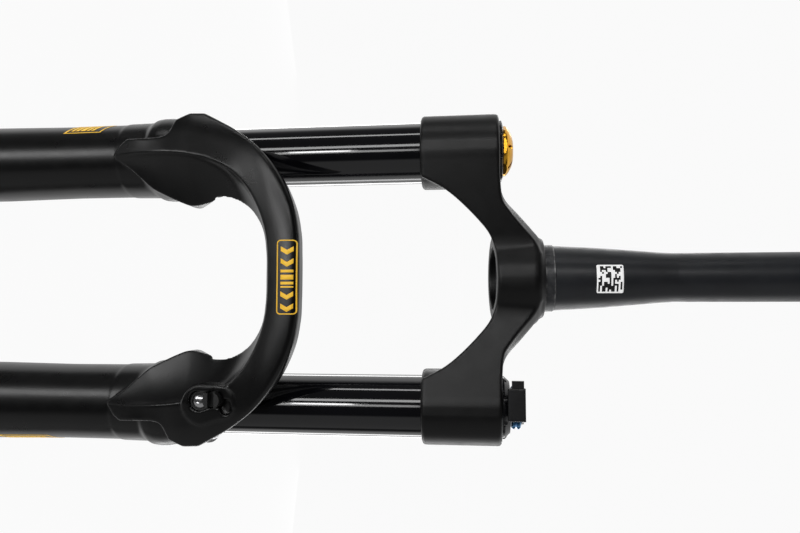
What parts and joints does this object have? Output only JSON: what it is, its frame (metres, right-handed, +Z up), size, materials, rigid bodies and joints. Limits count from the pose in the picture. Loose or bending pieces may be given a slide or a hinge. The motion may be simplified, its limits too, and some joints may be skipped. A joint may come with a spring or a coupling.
{
  "type": "bicycle suspension fork",
  "caption": "Black telescopic bicycle suspension fork with a tapered steerer, forged crown, front arch, hose guide, air cap and damper dials.",
  "frame": {"origin": "centre of the crown race seat's shoulder, on the steerer axis", "axes": "+Z up the steerer, -Y to the front of the fork (the arch side), +X to the rider's left (the brake side)"},
  "size_m": [0.2016, 0.0884, 0.764],
  "materials": {
    "steerer": "satin black",
    "crown": "matt black anodised",
    "stanchion": "gloss black hard coat",
    "top_cap": "satin black anodised",
    "casting": "matt black paint",
    "black_anodised": "satin black anodised",
    "blue_anodised": "blue anodised",
    "gold_anodised": "gold anodised",
    "bare_alloy": "machined",
    "steel": "ground",
    "black_steel": "black oxide",
    "brass": "machined",
    "rubber": "matt",
    "foam": "open foam",
    "bushing": "low-friction lining",
    "guide_plastic": "moulded"
  },
  "bodies": {
    "chassis": {"steerer_tube": "steerer", "crown": "crown", "stanchion_left": "stanchion", "stanchion_right": "stanchion", "air_top_cap": "top_cap", "damper_top_cap": "top_cap", "air_valve_body": "brass", "damper_outer_tube": "bare_alloy", "damper_inner_tube": "bare_alloy", "compression_valve": "bare_alloy", "damper_seal_head": "bare_alloy", "air_seal_head": "bare_alloy", "seal_head_circlip": "steel", "top_out_bumper": "rubber"},
    "lowers": {"lower_legs": "casting", "dust_wiper_left": "rubber", "dust_wiper_right": "rubber", "garter_spring_left": "steel", "garter_spring_right": "steel", "foam_ring_left": "foam", "foam_ring_right": "foam", "upper_bushing_left": "bushing", "upper_bushing_right": "bushing", "lower_bushing_left": "bushing", "lower_bushing_right": "bushing", "damper_rod": "steel", "damper_piston": "bare_alloy", "piston_bolt": "steel", "air_shaft": "bare_alloy", "air_piston": "bare_alloy", "air_piston_seal": "rubber", "bottom_out_bumper": "rubber", "crush_washer_left": "bare_alloy", "crush_washer_right": "bare_alloy", "foot_nut_left": "black_steel", "foot_bolt_right": "black_steel", "axle_insert": "bare_alloy", "pinch_bolt": "black_steel", "hose_guide": "guide_plastic", "hose_guide_bolt": "steel"},
    "lsc_dial": {"lsc_knob": "blue_anodised", "lsc_sleeve": "bare_alloy"},
    "hsc_lever": {"hsc_lever": "black_anodised", "hsc_shaft": "steel"},
    "air_cap": {"air_cap": "gold_anodised"},
    "valve_pin": {"valve_pin": "brass"},
    "rebound_dial": {"rebound_knob": "gold_anodised", "rebound_needle": "steel"},
    "axle": {"axle": "black_anodised"},
    "floating_piston": {"damper_floating_piston": "guide_plastic", "floating_piston_spring": "steel"}
  },
  "joints": [
    {"name": "fork_travel", "type": "slide", "parent": "chassis", "child": "lowers", "axis": [0, 0, 1], "range_m": [0, 0.12], "stiffness_N_per_m": 8000, "springref_m": -0.012},
    {"name": "floating_piston_slide", "type": "slide", "parent": "chassis", "child": "floating_piston", "axis": [0, 0, 1], "range_m": [0, 0.0204], "deforming": ["floating_piston_spring"]},
    {"name": "lsc_turn", "type": "hinge", "parent": "chassis", "child": "lsc_dial", "pos_m": [0.075, -0.0107, -0.017], "axis": [0, 0, 1], "range_deg": [-270, 0]},
    {"name": "hsc_turn", "type": "hinge", "parent": "chassis", "child": "hsc_lever", "pos_m": [0.075, -0.0107, -0.014], "axis": [0, 0, 1], "range_deg": [0, 120]},
    {"name": "air_cap_off", "type": "slide", "parent": "chassis", "child": "air_cap", "axis": [0, 0, 1], "range_m": [0, 0.03]},
    {"name": "valve_pin_press", "type": "slide", "parent": "chassis", "child": "valve_pin", "axis": [0, 0, -1], "range_m": [0, 0.0015], "stiffness_N_per_m": 400, "springref_m": -0.001},
    {"name": "rebound_turn", "type": "hinge", "parent": "lowers", "child": "rebound_dial", "pos_m": [0.075, -0.0107, -0.56], "axis": [0, 0, 1], "range_deg": [0, 270]},
    {"name": "axle_out", "type": "slide", "parent": "lowers", "child": "axle", "axis": [-1, 0, 0], "range_m": [0, 0.17]}
  ],
  "couplings": [
    {"joint": "floating_piston_slide", "follows": "fork_travel", "ratio": 0.16551}
  ]
}
